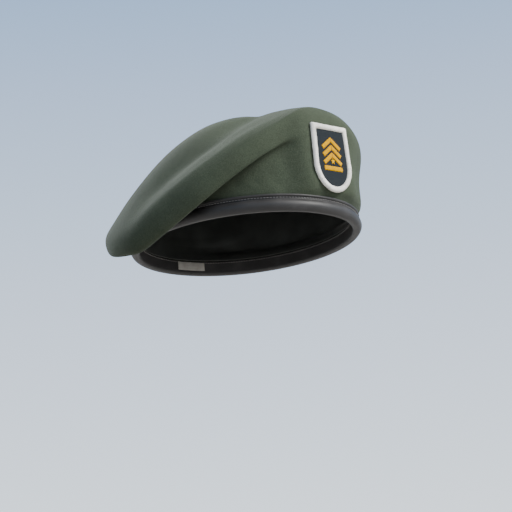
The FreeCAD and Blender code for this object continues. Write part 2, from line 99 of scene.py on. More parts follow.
def flash_axes():
    """Right, up and outward directions of the flash."""
    turn, lean, roll = np.radians((FLASH_TURN, FLASH_LEAN, FLASH_ROLL))
    side = np.array((math.cos(turn), math.sin(turn), 0.0))
    out = np.array((math.sin(turn) * math.cos(lean), -math.cos(turn) * math.cos(lean),
                    math.sin(lean)))
    rise = np.cross(out, side)
    right = side * math.cos(roll) + rise * math.sin(roll)
    return right, np.cross(out, right), out


FLASH_RIGHT, FLASH_UP, FLASH_OUT = flash_axes()


def flash_window(points):
    """1 on the felt the flash stiffener flattens, fading to 0 round it."""
    offset = points - FLASH_CENTRE
    across, above = np.abs(offset @ FLASH_RIGHT), offset @ FLASH_UP
    return ((1.0 - blend(*FLAT_ACROSS, across)) * (1.0 - blend(*FLAT_ABOVE, above))
            * (1.0 - blend(*FLAT_BELOW, -above)) * (points[..., 1] < 0.0))


def turn_window(turn, rise_from, rise_to, fall_from, fall_to):
    """1 between two turns round the head, fading to 0 outside them."""
    return blend(rise_from, rise_to, turn) * (1.0 - blend(fall_from, fall_to, turn))


def fold_place(turn):
    """How far along the drape's fold a turn lies, from 0 at its start."""
    return np.clip((turn - FOLD_START) / FOLD_SPREAD, 0.0, FOLD_LIMIT)


def crown_net():
    """Control points of the outer felt face: rows from the foot to the crest, round the head."""
    turn = np.arange(RING_POINTS) * 360.0 / RING_POINTS
    angle = np.radians(turn)
    foot = np.stack((FOOT_HALF_WIDTH * np.cos(angle), FOOT_HALF_LENGTH * np.sin(angle)), -1)
    reach = np.linalg.norm(foot, axis=1)
    away = (turn - DRAPE_DIRECTION + 180.0) % 360.0 - 180.0
    weight = np.where(away >= 0.0, 1.0 - blend(*DRAPE_FRONT, away),
                      1.0 - blend(*DRAPE_BACK, -away))
    draped = np.where(away >= 0.0, 1.0 - blend(*HANG_FRONT, away),
                      1.0 - blend(*HANG_BACK, -away))
    edge = mix(UPRIGHT_EDGE_LEVEL, DRAPE_EDGE_LEVEL, weight)
    tuck = TUCK_RISE * blend(0.0, 0.6, weight)
    over = mix(UPRIGHT_OVERHANG, DRAPE_OVERHANG, weight)
    rounding = mix(UPRIGHT_EDGE_ROUND, DRAPE_EDGE_ROUND, weight)
    climb = np.maximum(edge + tuck, WALL_TOP + 2.5) - WALL_TOP
    flat = np.zeros_like(over)
    hanging = (
        (flat, flat + FOOT_LEVEL), (flat, flat + FOOT_LEVEL + 3.0), (flat, flat + WALL_TOP - 2.0),
        (flat + 0.4, flat + WALL_TOP + 1.3), (0.08 * over, WALL_TOP + 0.4 * climb),
        (0.14 * over, WALL_TOP + 0.65 * climb), (0.22 * over, WALL_TOP + 0.95 * climb),
        (0.40 * over, edge + 0.5 * tuck), (0.60 * over, edge + 0.06 * tuck),
        (0.86 * over, edge), (over, edge + 0.6 * rounding), (1.02 * over, edge + 1.35 * rounding),
    )
    rows = []
    for stand, hang in zip(UPRIGHT_PROFILE, hanging):
        outward = mix(stand[0], hang[0], draped)
        level = mix(stand[1], hang[1], draped)
        rows.append(np.column_stack((foot * (1.0 + outward / reach)[:, None], level)))
    rim = rows[-1]
    fullness = mix(UPRIGHT_FULLNESS, DRAPE_FULLNESS, weight)
    window = turn_window(turn, *FOLD_WINDOW)
    along = fold_place(turn)
    for step in FACE_STEPS:
        row = CREST + (rim - CREST) * step
        ridge = bell(step - RIDGE_PLACE + RIDGE_SLIDE * along, RIDGE_WIDE)
        valley = bell(step - VALLEY_PLACE + VALLEY_SLIDE * along, VALLEY_WIDE)
        fold = window * (RIDGE_HEIGHT * ridge - VALLEY_DEPTH * valley)
        row[:, 2] = CREST[2] + (rim[:, 2] - CREST[2]) * step ** fullness + fold
        if step == FACE_STEPS[-1]:
            row[:, 2] = CREST[2]
        rows.append(row)
    net = np.array(rows)
    height = (net - FLASH_CENTRE) @ FLASH_OUT * flash_window(net)
    return net - height[..., None] * FLASH_OUT


def clamped_basis(count, places):
    """Weights of cubic curve control points at places from 0 to 1, ends held."""
    knots = np.concatenate((np.zeros(3), np.linspace(0.0, 1.0, count - 2), np.ones(3)))
    places = np.clip(places, 0.0, 1.0 - 1e-9)
    table = ((places[:, None] >= knots[:-1]) & (places[:, None] < knots[1:])).astype(float)
    for degree in range(1, 4):
        size = table.shape[1] - 1
        grown = np.zeros((len(places), size))
        for i in range(size):
            left = knots[i + degree] - knots[i]
            right = knots[i + degree + 1] - knots[i + 1]
            if left > 0:
                grown[:, i] += (places - knots[i]) / left * table[:, i]
            if right > 0:
                grown[:, i] += (knots[i + degree + 1] - places) / right * table[:, i + 1]
        table = grown
    return table


def ring_basis(count, places):
    """Weights of cubic control points round a closed ring at places from 0 to count."""
    table = np.zeros((len(places), count))
    whole = np.floor(places).astype(int)
    f = places - whole
    parts = ((1 - f) ** 3 / 6, (3 * f ** 3 - 6 * f ** 2 + 4) / 6,
             (-3 * f ** 3 + 3 * f ** 2 + 3 * f + 1) / 6, f ** 3 / 6)
    for k, part in enumerate(parts):
        table[np.arange(len(places)), (whole - 1 + k) % count] += part
    return table


NET = crown_net()


def crown_points(rows, round_count):
    """Points and outward directions of the outer felt face on a grid."""
    around = ring_basis(RING_POINTS, np.arange(round_count) * RING_POINTS / round_count)

    def at(places):
        return np.einsum("vi,ijk,uj->vuk", clamped_basis(len(NET), places), NET, around)

    points = at(rows)
    step = 1e-3
    climb = at(np.clip(rows + step, 0, 1)) - at(np.clip(rows - step, 0, 1))
    turn = np.roll(points, -1, 1) - np.roll(points, 1, 1)
    return points, unit(np.cross(turn, climb))


# ------------------------------------------------------------------ mesh helpers
def grid_faces(rows, columns, closed=True, start=0, flip=False):
    """Quads over a grid of rows; closed joins the last column to the first."""
    i, j = np.meshgrid(np.arange(rows - 1), np.arange(columns if closed else columns - 1),
                       indexing="ij")
    k = (j + 1) % columns
    quads = np.stack((i * columns + j, i * columns + k, (i + 1) * columns + k,
                      (i + 1) * columns + j), -1).reshape(-1, 4) + start
    return (quads[:, ::-1] if flip else quads).tolist()


def make_piece(name, points, faces, material, stands_for=(), smooth=True):
    """One mesh piece from points in millimetres, riding on the root body."""
    mesh = bpy.data.meshes.new(name)
    mesh.from_pydata((np.asarray(points).reshape(-1, 3) * MM).tolist(), [], faces)
    mesh.validate()
    mesh.polygons.foreach_set("use_smooth", [smooth] * len(mesh.polygons))
    mesh.update()
    piece = bpy.data.objects.new(name, mesh)
    bpy.context.scene.collection.objects.link(piece)
    mesh.materials.append(material)
    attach(piece, ROOT)
    if stands_for:
        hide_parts(*stands_for)
    return piece


THREAD_SIDES = 6


class Build:
    """Gathers several closed surfaces into one mesh."""

    def __init__(self):
        self.points, self.faces, self.count = [], [], 0

    def add(self, points, faces):
        points = np.asarray(points, float).reshape(-1, 3)
        self.faces += [[self.count + k for k in face] for face in faces]
        self.points.append(points)
        self.count += len(points)

    def tube(self, centres, frames, radii):
        """Closed tube: centres along it, frames of two cross directions, radii per ring."""
        sides = THREAD_SIDES
        angles = np.arange(sides) * 2.0 * math.pi / sides
        first, second = frames
        rings = (centres[:, None] + radii[:, None, None]
                 * (np.cos(angles)[None, :, None] * first[:, None]
                    + np.sin(angles)[None, :, None] * second[:, None]))
        faces = grid_faces(len(centres), sides)
        last = (len(centres) - 1) * sides
        faces += [list(range(sides))[::-1], list(range(last, last + sides))]
        self.add(rings, faces)

    def points_array(self):
        return np.concatenate(self.points)


def soft_noise(seed, turns, climbs, waves, lowest, highest):
    """Smooth seeded relief over angle round the head and height, from -1 to 1."""
    draw = np.random.default_rng(seed)
    total = np.zeros(np.broadcast(turns, climbs).shape)
    for _ in range(waves):
        round_waves = draw.integers(lowest, highest)
        up_waves = draw.uniform(0.3, highest)
        phase, strength = draw.uniform(0, 2 * math.pi), draw.uniform(0.5, 1.0)
        total = total + strength * np.sin(round_waves * turns + up_waves * climbs * 6.0 + phase)
    return total / waves * 1.6


# ------------------------------------------------------------------ materials
class Shader:
    """A node material with one principled shader."""

    def __init__(self, name, colour, roughness, **sockets):
        self.material = bpy.data.materials.new(name)
        self.material.use_nodes = True
        self.nodes = self.material.node_tree.nodes
        self.links = self.material.node_tree.links
        self.shader = self.nodes["Principled BSDF"]
        self.shader.inputs["Base Color"].default_value = (*colour, 1.0)
        self.shader.inputs["Roughness"].default_value = roughness
        for socket, value in sockets.items():
            self.shader.inputs[socket.replace("_", " ")].default_value = value
        self.coordinates = self.nodes.new("ShaderNodeTexCoord").outputs["Object"]

    def node(self, kind, inputs=None, **settings):
        node = self.nodes.new(kind)
        for key, value in settings.items():
            setattr(node, key, value)
        for key, value in (inputs or {}).items():
            if isinstance(value, bpy.types.NodeSocket):
                self.links.new(value, node.inputs[key])
            else:
                node.inputs[key].default_value = value
        return node

    def noise(self, scale, detail=3.0, roughness=0.5, distortion=0.0, vector=None):
        return self.node("ShaderNodeTexNoise", {
            "Vector": vector or self.coordinates, "Scale": scale, "Detail": detail,
            "Roughness": roughness, "Distortion": distortion}).outputs["Fac"]

    def ramp(self, value, stops):
        ramp = self.node("ShaderNodeValToRGB", {"Fac": value})
        elements = ramp.color_ramp.elements
        while len(elements) < len(stops):
            elements.new(0.5)
        for element, (place, colour) in zip(elements, stops):
            element.position = place
            element.color = (*colour, 1.0) if len(colour) == 3 else colour
        return ramp.outputs["Color"]

    def grey(self, value, low, high, from_low=0.3, from_high=0.7):
        return self.node("ShaderNodeMapRange", {
            "Value": value, "From Min": from_low, "From Max": from_high,
            "To Min": low, "To Max": high}).outputs["Result"]

    def multiply(self, first, second, factor):
        mixed = self.node("ShaderNodeMix", data_type="RGBA", blend_type="MULTIPLY")
        mixed.inputs["Factor"].default_value = factor
        self.links.new(first, mixed.inputs["A"])
        self.links.new(second, mixed.inputs["B"])
        return mixed.outputs["Result"]

    def bump(self, height, strength, distance, below=None):
        inputs = {"Height": height, "Strength": strength, "Distance": distance}
        if below is not None:
            inputs["Normal"] = below
        return self.node("ShaderNodeBump", inputs).outputs["Normal"]

    def link(self, value, socket):
        self.links.new(value, self.shader.inputs[socket])


def shade(colour, factor):
    return tuple(c * factor for c in colour)


# Painted shade on the wool: the colour factor at the hem, and the heights in metres where the
# darkening is full and where it ends.
HEM_PAINTED_SHADE, HEM_LOW, HEM_HIGH = 0.66, -0.016, 0.018


def wool_material():
    """Fulled wool with painted shade: its base colour darkens towards the drape's low hem (levels
    in metres).
    """
    base = (0.049, 0.061, 0.042)
    wool = Shader("fulled_wool", base, 0.95, Sheen_Weight=0.075, Sheen_Roughness=0.36,
                  Sheen_Tint=(0.82, 0.90, 0.84, 1.0), Specular_IOR_Level=0.08)
    mottle = wool.noise(42.0, 4.0, 0.6)
    fleck = wool.noise(1500.0, 3.0, 0.7)
    broad = wool.ramp(mottle, [(0.25, shade(base, 0.86)), (0.5, base), (0.75, shade(base, 1.14))])
    fine = wool.ramp(fleck, [(0.3, (0.55, 0.57, 0.52)), (0.5, (1.0, 1.0, 1.0)),
                             (0.7, (1.5, 1.45, 1.42))])
    height = wool.node("ShaderNodeSeparateXYZ", {"Vector": wool.coordinates}).outputs["Z"]
    # Painted shade: the base colour is multiplied down to 0.66 at 16 mm below the head opening,
    # fading to none by 18 mm above it.
    painted_hem_shade = wool.grey(height, HEM_PAINTED_SHADE, 1.0, HEM_LOW, HEM_HIGH)
    wool.link(wool.multiply(wool.multiply(broad, fine, 0.75), painted_hem_shade, 1.0), "Base Color")
    wool.link(wool.grey(fleck, 0.86, 0.98), "Roughness")
    felted = wool.bump(wool.noise(420.0, 5.0, 0.65, 0.6), 0.35, 0.0006)
    fibres = wool.bump(wool.noise(2300.0, 3.0, 0.7, 1.2), 0.45, 0.00025, felted)
    wool.link(fibres, "Normal")
    return wool.material


def lining_material():
    base = (0.020, 0.022, 0.021)
    satin = Shader("satin_lining", base, 0.34, Sheen_Weight=0.15, Sheen_Roughness=0.3,
                   Specular_IOR_Level=0.5)
    weave = satin.node("ShaderNodeTexWave", {"Vector": satin.coordinates, "Scale": 700.0,
                                             "Distortion": 0.4}, bands_direction="DIAGONAL")
    drift = satin.noise(60.0, 3.0)
    satin.link(satin.ramp(drift, [(0.3, shade(base, 0.8)), (0.7, shade(base, 1.3))]), "Base Color")
    satin.link(satin.grey(drift, 0.28, 0.42), "Roughness")
    satin.link(satin.bump(weave.outputs["Fac"], 0.12, 0.0001), "Normal")
    return satin.material


def leather_material():
    base = (0.026, 0.025, 0.0255)
    leather = Shader("binding_leather", base, 0.52, Specular_IOR_Level=0.36)
    grain = leather.node("ShaderNodeTexVoronoi", {"Vector": leather.coordinates,
                                                  "Scale": 1100.0, "Randomness": 1.0},
                         feature="DISTANCE_TO_EDGE").outputs["Distance"]
    wear = leather.noise(55.0, 5.0, 0.6)
    pores = leather.noise(2600.0, 2.0)
    leather.link(leather.ramp(wear, [(0.3, shade(base, 0.75)), (0.55, base),
                                     (0.8, (0.045, 0.043, 0.043))]), "Base Color")
    leather.link(leather.grey(wear, 0.46, 0.62), "Roughness")
    creased = leather.bump(grain, 0.25, 0.0002)
    leather.link(leather.bump(pores, 0.12, 0.0001, creased), "Normal")
    return leather.material


def thread_material(name, base, roughness=0.55, sheen=0.3, depth=0.3, scale=2600.0,
                    specular=0.4):
    """Spun thread or ribbon: fine twist, small changes of shade."""
    thread = Shader(name, base, roughness, Sheen_Weight=sheen, Sheen_Roughness=0.4,
                    Specular_IOR_Level=specular)
    drift, fibre = thread.noise(240.0, 3.0), thread.noise(scale, 3.0, 0.6, 0.5)
    thread.link(thread.ramp(drift, [(0.3, shade(base, 0.86)), (0.5, base),
                                    (0.72, shade(base, 1.1))]), "Base Color")
    thread.link(thread.grey(fibre, roughness - 0.08, roughness + 0.1), "Roughness")
    thread.link(thread.bump(fibre, depth, 0.00012), "Normal")
    return thread.material


def twill_material():
    base = (0.013, 0.017, 0.021)
    twill = Shader("navy_twill", base, 0.9, Sheen_Weight=0.06, Sheen_Roughness=0.5,
                   Specular_IOR_Level=0.1)
    lines = twill.node("ShaderNodeTexWave", {"Vector": twill.coordinates, "Scale": 330.0,
                                             "Distortion": 0.6, "Detail": 2.0},
                       bands_direction="DIAGONAL").outputs["Fac"]
    twill.link(twill.ramp(lines, [(0.1, shade(base, 0.62)), (0.6, base),
                                  (0.95, shade(base, 1.35))]), "Base Color")
    twill.link(twill.bump(lines, 0.5, 0.00025), "Normal")
    return twill.material


WOOL, LINING, LEATHER = wool_material(), lining_material(), leather_material()
TWILL = twill_material()
WHITE = thread_material("white_thread", (0.84, 0.82, 0.77), 0.75, 0.1)
GOLD = thread_material("gold_thread", (0.60, 0.31, 0.0), 0.9, 0.0, specular=0.0)
STITCH = thread_material("grey_thread", (0.17, 0.165, 0.16), 0.7, 0.1)
OLIVE = thread_material("olive_thread", (0.020, 0.024, 0.014), 0.8, 0.1)
RIBBON = thread_material("black_ribbon", (0.016, 0.016, 0.016), 0.6)
BUCKRAM = thread_material("buckram", (0.45, 0.44, 0.40), 0.9, 0.1, 0.5, 900.0)
LABEL = thread_material("label_cloth", (0.30, 0.29, 0.27), 0.75, 0.2, 0.4, 1400.0)


# ------------------------------------------------------------------ crown felt
ROUND = 384
AT_CREST = 0.999
TURNS = np.arange(ROUND)[None, :] * 2.0 * math.pi / ROUND
PRESS_WINDOW = (180.0, 200.0, 214.0, 242.0)
PRESS_DEPTH, PRESS_GAP, PRESS_SLIDE, PRESS_WIDE = 1.25, 0.13, 0.12, 0.075
CRISP_HEIGHT, CRISP_WIDE = 0.5, 0.03
BROAD_RELIEF, GATHER_RELIEF = 0.38, 0.30


def felt_relief(points, rows):
    """Small unevenness of worn felt, calm at the binding and under the flash."""
    broad = soft_noise(11, TURNS, rows[:, None], 16, 2, 9)
    gathers = soft_noise(5, TURNS, rows[:, None] * 0.2, 12, 22, 44)
    level = points[..., 2]
    near_band = blend(17.0, 22.0, level) * (1.0 - blend(24.0, 42.0, level))
    near_band = near_band * (rows[:, None] < 0.3)
    rise = blend(0.12, 0.3, rows)[:, None]
    calm = 1.0 - flash_window(points)
    crest_calm = 1.0 - blend(0.94, 0.99, rows)[:, None]
    return (BROAD_RELIEF * broad * rise + GATHER_RELIEF * gathers * near_band) * calm * crest_calm


def pressed_fold(rows):
    """Depth pressed into the wool's face above the drape's ridge; negative on the ridge."""
    control_row = rows * (len(NET) - 3) + 1.0
    step = np.interp(control_row, np.arange(11.0, 22.0), (1.0,) + FACE_STEPS)[:, None]
    turn = np.degrees(TURNS)
    along = fold_place(turn)
    ridge = RIDGE_PLACE - RIDGE_SLIDE * along
    hollow = bell(step - ridge + PRESS_GAP + PRESS_SLIDE * along, PRESS_WIDE)
    crisp = bell(step - ridge, CRISP_WIDE)
    return turn_window(turn, *PRESS_WINDOW) * (PRESS_DEPTH * hollow - CRISP_HEIGHT * crisp)


def layered_crown(name, rows, near, far, relief, material, stands_for):
    """Closed skin between two depths inside the felt's outer face."""
    points, outward = crown_points(rows, ROUND)
    front = points - outward * (near - relief)[..., None]
    back = points - outward * (far - relief)[..., None]
    count = len(rows)
    faces = grid_faces(count, ROUND)
    faces += grid_faces(count, ROUND, start=count * ROUND, flip=True)
    low = np.arange(ROUND)
    step = (low + 1) % ROUND
    hem = np.stack((low, low + count * ROUND, step + count * ROUND, step), -1)
    faces += hem.tolist()
    verts = np.concatenate((front.reshape(-1, 3), back.reshape(-1, 3)))
    if rows[-1] > AT_CREST:
        peaks = np.array([front[-1].mean(0), back[-1].mean(0)])
        verts = np.concatenate((verts, peaks))
        for side, peak in ((0, len(verts) - 2), (1, len(verts) - 1)):
            ring = (side * count + count - 1) * ROUND
            for k in range(ROUND):
                pair = [ring + k, ring + (k + 1) % ROUND]
                faces.append((pair if side == 0 else pair[::-1]) + [peak])
    else:
        top = (count - 1) * ROUND
        faces += (hem[:, ::-1] + top).tolist()
    return make_piece(name, verts, faces, material, stands_for)


FELT_ROWS = np.concatenate((np.linspace(0.0, 0.1, 10, endpoint=False),
                            np.linspace(0.1, 0.62, 120, endpoint=False),
                            np.linspace(0.62, 1.0, 70)))
felt_points, _ = crown_points(FELT_ROWS, ROUND)
felt_drift = felt_relief(felt_points, FELT_ROWS)
zero = np.zeros_like(felt_drift)
layered_crown("wool_crown", FELT_ROWS, pressed_fold(FELT_ROWS), zero + FELT_THICK, felt_drift,
              WOOL, ("crown_shell",))

# ------------------------------------------------------------------ lining
LINING_DEPTH, LINING_THICK, FLASH_SLACK = FELT_THICK + 0.5, 0.5, 1.6
LINING_START, LINING_SEAM, SEAM_GAP = 0.068, 0.52, 0.0012
LINING_ROWS = 110


def lining_panel(name, first, last, node, ease):
    """Satin between two rows, its slack folds deepest away from its seams."""
    rows = np.linspace(first, last, LINING_ROWS)
    points, _ = crown_points(rows, ROUND)
    middle = np.sin(math.pi * np.clip((rows - first) / (last - first), 0, 1))[:, None]
    if last > AT_CREST:
        middle = blend(first, first + 0.15, rows)[:, None] * (1.0 - blend(0.9, 1.0, rows))[:, None]
    slack = np.maximum(soft_noise(23, TURNS, rows[:, None], 18, 2, 12), 0.0)
    folds = np.maximum(soft_noise(31, TURNS, rows[:, None] * 0.25, 14, 10, 26), 0.0)
    near = (LINING_DEPTH + FLASH_SLACK * flash_window(points)
            + ease * middle * (slack + 0.6 * folds))
    return layered_crown(name, rows, near, near + LINING_THICK, 0.0, LINING, (node,))


lining_panel("lining_side_panel", LINING_START, LINING_SEAM - SEAM_GAP, "lining_side", 1.2)
lining_panel("lining_top_panel", LINING_SEAM + SEAM_GAP, 1.0, "lining_top", 2.2)


# ------------------------------------------------------------------ oval sweeps
def oval_lengths(count=7200):
    angles = np.linspace(0.0, 2.0 * math.pi, count + 1) + math.pi / 2
    places = np.column_stack((FOOT_HALF_WIDTH * np.cos(angles), FOOT_HALF_LENGTH * np.sin(angles)))
    run = np.concatenate(([0.0], np.cumsum(np.linalg.norm(np.diff(places, axis=0), axis=1))))
    return angles, run


OVAL_ANGLES, OVAL_RUN = oval_lengths()
OVAL_LENGTH = OVAL_RUN[-1]


def oval_at(run):
    """Point on the foot oval, outward and along directions, at lengths from the back seam."""
    angle = np.interp(np.mod(run, OVAL_LENGTH), OVAL_RUN, OVAL_ANGLES)
    point = np.column_stack((FOOT_HALF_WIDTH * np.cos(angle), FOOT_HALF_LENGTH * np.sin(angle),
                             np.zeros_like(angle)))
    outward = unit(np.column_stack((FOOT_HALF_LENGTH * np.cos(angle),
                                    FOOT_HALF_WIDTH * np.sin(angle), np.zeros_like(angle))))
    along = np.column_stack((-outward[:, 1], outward[:, 0], np.zeros_like(angle)))
    return point, outward, along


def arc(centre, radius, start, stop, count):
    angles = np.radians(np.linspace(start, stop, count))
    return np.column_stack((centre[0] + radius * np.cos(angles),
                            centre[1] + radius * np.sin(angles)))


def sweep_oval(name, section, runs, relief, material, stands_for, flip=False):
    """Closed section of outward distance and level, swept along the foot oval."""
    point, outward, _ = oval_at(runs)
    ring = point[:, None] + outward[:, None] * (section[None, :, 0] + relief[..., 0])[..., None]
    ring[..., 2] = section[None, :, 1] + relief[..., 1]
    faces = grid_faces(len(runs), len(section), flip=flip)
    last = (len(runs) - 1) * len(section)
    caps = [list(range(len(section)))[::-1], list(range(last, last + len(section)))]
    faces += [cap[::-1] for cap in caps] if flip else caps
    return make_piece(name, ring, faces, material, stands_for)


# ------------------------------------------------------------------ leather binding
STITCH_PITCH = 2.3
STITCHES = int(OVAL_LENGTH / STITCH_PITCH)
STITCH_LEVEL = 10.3
BUTT_GAP = 0.4


def binding_section():
    """Folded leather strip: inner leg, rolled edge, stitch groove and thin top lip."""
    parts = [
        np.array([(-3.55, 11.5), (-3.6, 11.1), (-3.6, 8.5), (-3.6, 5.5)]),
        arc((-1.2, 2.4), 2.4, 180, 270, 8),
        np.array([(-0.2, 0.0)]),
        arc((-1.301, 4.757), 5.2, -66.2, 58.7, 20),
        np.array([(1.3, 9.6), (1.22, 10.0), (1.22, 10.4), (1.4, 10.75), (1.8, 11.0),
                  (2.15, 11.3), (2.38, 11.7), (2.42, 12.15), (2.25, 12.6), (1.9, 12.95),
                  (1.45, 13.0), (1.05, 12.65), (0.6, 12.05), (0.3, 11.4), (0.3, 9.6)]),
        arc((-1.875, 4.845), 4.6, 61, -54, 9),
        np.array([(-0.2, 1.1)]),
        arc((-1.2, 2.4), 1.3, 270, 180, 4),
        np.array([(-2.5, 8.0), (-2.5, 11.5), (-2.7, 11.8), (-3.1, 11.85), (-3.4, 11.75)]),
    ]
    return np.concatenate(parts)


section = binding_section()
runs = np.linspace(0.0, OVAL_LENGTH - BUTT_GAP, STITCHES * 6)
phase = runs[:, None] * STITCHES / OVAL_LENGTH * 2.0 * math.pi
level, out_dist = section[None, :, 1], section[None, :, 0]
outer_side = out_dist > 0.9
waver = np.zeros((len(runs), 2))
draw = np.random.default_rng(3)
for waves in (5, 9, 14, 23, 37):
    for column in range(2):
        waver[:, column] += draw.uniform(0.4, 1.0) / math.sqrt(waves) * np.sin(
            waves * runs / OVAL_LENGTH * 2 * math.pi + draw.uniform(0, 6.28))
pull = bell(level - STITCH_LEVEL, 1.0) * outer_side
relief = np.zeros((len(runs), len(section), 2))
relief[..., 0] = (0.16 * waver[:, :1] * blend(0.0, 4.0, level) * outer_side * (level < 9.0)
                  - 0.10 * pull * (0.5 - 0.5 * np.cos(phase)) * (level < 11.6))
relief[..., 1] = 0.14 * waver[:, 1:] * (level > 11.6)
inner_pull = bell(level - STITCH_LEVEL, 0.9) * (out_dist < -3.3)
relief[..., 0] += 0.10 * inner_pull * (0.5 + 0.5 * np.cos(phase))
sweep_oval("binding", section, runs, relief, LEATHER, ("leather_binding",), flip=True)


def stitch_row(name, outward_dist, facing, stands_for):
    """Separate short stitches that dip into the leather at both ends."""
    reach = np.array((-0.85, -0.75, -0.5, 0.0, 0.5, 0.75, 0.85))
    proud = np.array((-0.35, 0.04, 0.22, 0.30, 0.22, 0.04, -0.35)) * facing
    radii = np.array((0.13, 0.22, 0.26, 0.27, 0.26, 0.22, 0.13))
    build = Build()
    draw = np.random.default_rng(len(name))
    for n in range(STITCHES):
        run = OVAL_LENGTH * (n + 0.5) / STITCHES + draw.uniform(-0.08, 0.08)
        point, outward, along = oval_at(np.array([run]))
        lift = STITCH_LEVEL + draw.uniform(-0.05, 0.05)
        tilt = draw.uniform(-0.06, 0.06)
        centres = (point + along * reach[:, None] * 0.95
                   + outward * (outward_dist + proud)[:, None])
        centres[:, 2] = lift + tilt * reach
        first = np.repeat(outward, len(reach), 0)
        second = np.repeat(np.array([(0.0, 0.0, 1.0)]), len(reach), 0)
        build.tube(centres, (first, second), radii)
    return make_piece(name, build.points_array(), build.faces, STITCH,
                      stands_for)


stitch_row("outer_stitches", 1.3, 1.0, ("binding_stitches_outer",))
stitch_row("inner_stitches", -3.62, -1.0, ("binding_stitches_inner",))

ribbon_section = np.array([(0.85, 2.5), (1.05, 2.4), (1.35, 2.5), (1.5, 3.8), (1.55, 5.4),
                           (1.45, 6.9), (1.2, 7.0), (0.9, 6.9), (0.95, 4.8)])
ribbon_runs = np.linspace(0.3, OVAL_LENGTH - 0.9, 300)
ribbon_relief = np.zeros((len(ribbon_runs), len(ribbon_section), 2))
ribbon_relief[..., 0] = 0.12 * np.sin(ribbon_runs / 9.0)[:, None]
sweep_oval("ribbon", ribbon_section, ribbon_runs, ribbon_relief, RIBBON,
           ("draw_ribbon",), flip=True)

LABEL_HALF_LONG, LABEL_OUT, LABEL_LOW, LABEL_HIGH = 13.0, -4.12, 3.8, 10.4
label_section = np.concatenate((
    arc((LABEL_OUT, LABEL_HIGH), 0.17, 0, 180, 5),
    arc((LABEL_OUT, LABEL_LOW), 0.17, 180, 360, 5)))
label_runs = np.linspace(-LABEL_HALF_LONG, LABEL_HALF_LONG, 60)
label_relief = np.zeros((len(label_runs), len(label_section), 2))
label_relief[..., 0] = (-0.22 * np.cos(label_runs / LABEL_HALF_LONG * math.pi / 2) ** 2)[:, None]
sweep_oval("blank_label", label_section, label_runs, label_relief, LABEL,
           ("size_label",), flip=True)


# ------------------------------------------------------------------ flash
def on_flash(local):
    """Points given as right, up and outward from the flash's centre, in the row frame."""
    local = np.asarray(local, float)
    return (FLASH_CENTRE + local[..., :1] * FLASH_RIGHT + local[..., 1:2] * FLASH_UP
            + local[..., 2:] * FLASH_OUT)


def shield_outline(shrink, top_count, side_count, foot_count):
    """Outline drawn in by shrink, clockwise from the top left corner."""
    half, top = FLASH_HALF_WIDTH - shrink, FLASH_HALF_HEIGHT - shrink
    level, top_half = FLASH_HALF_WIDTH - FLASH_HALF_HEIGHT, half - FLASH_TOP_IN
    s = np.linspace(0.0, 1.0, top_count, endpoint=False)
    top_side = np.column_stack((mix(-top_half, top_half, s), np.full_like(s, top)))
    s = np.linspace(0.0, 1.0, side_count, endpoint=False)
    right_side = np.column_stack((mix(top_half, half, s), mix(top, level, s)))
    angles = -np.linspace(0.0, math.pi, foot_count, endpoint=False)
    foot = np.column_stack((half * np.cos(angles), level + half * np.sin(angles)))
    left_side = np.column_stack((mix(-half, -top_half, s), mix(level, top, s)))
    return np.concatenate((top_side, right_side, foot, left_side))


def soften_corners(outline, passes):
    for _ in range(passes):
        outline = 0.5 * outline + 0.25 * (np.roll(outline, 1, 0) + np.roll(outline, -1, 0))
    return outline


def fan_closed(rings, count):
    """Faces of stacked rings with a fan at each end; two points follow them, top then foot."""
    faces = grid_faces(rings, count, flip=True)
    last, top = (rings - 1) * count, rings * count
    for k in range(count):
        step = (k + 1) % count
        faces.append([last + step, last + k, top])
        faces.append([k, step, top + 1])
    return faces


CLOTH_RINGS = 26


def cloth_shield(name, shrink, low, thick, puff, material, stands_for):
    """Flat cloth of the flash's shape, its face raised a little in the middle."""
    outline = shield_outline(shrink, 30, 30, 60)
    rows = []
    for k in range(CLOTH_RINGS):
        size = 1.0 - k / CLOTH_RINGS
        height = low + thick + puff * (1.0 - size ** 4)
        rows.append(np.column_stack((outline * size, np.full(len(outline), height))))
    rim = np.column_stack((outline, np.full(len(outline), low)))
    grid = np.array([rim] + rows)
    points = np.concatenate((grid.reshape(-1, 3),
                             [(0.0, 0.0, low + thick + puff), (0.0, 0.0, low)]))
    faces = fan_closed(len(grid), len(outline))
    return make_piece(name, on_flash(points), faces, material, stands_for)


BACKING_LOW = FLASH_LIFT
GROUND_LOW = BACKING_LOW + CLOTH_THICK
THREAD_LOW = GROUND_LOW + CLOTH_THICK
CLOTH_SHRINK = BORDER_WIDE - 0.4
cloth_shield("flash_back_cloth", CLOTH_SHRINK, BACKING_LOW, CLOTH_THICK - 0.02, 0.0,
             WHITE, ("flash_backing",))
cloth_shield("flash_twill", CLOTH_SHRINK, GROUND_LOW, CLOTH_THICK - 0.1, 0.1,
             TWILL, ("flash_ground",))


WRAP_PITCH, WRAP_PROUD = 1.5, 0.62


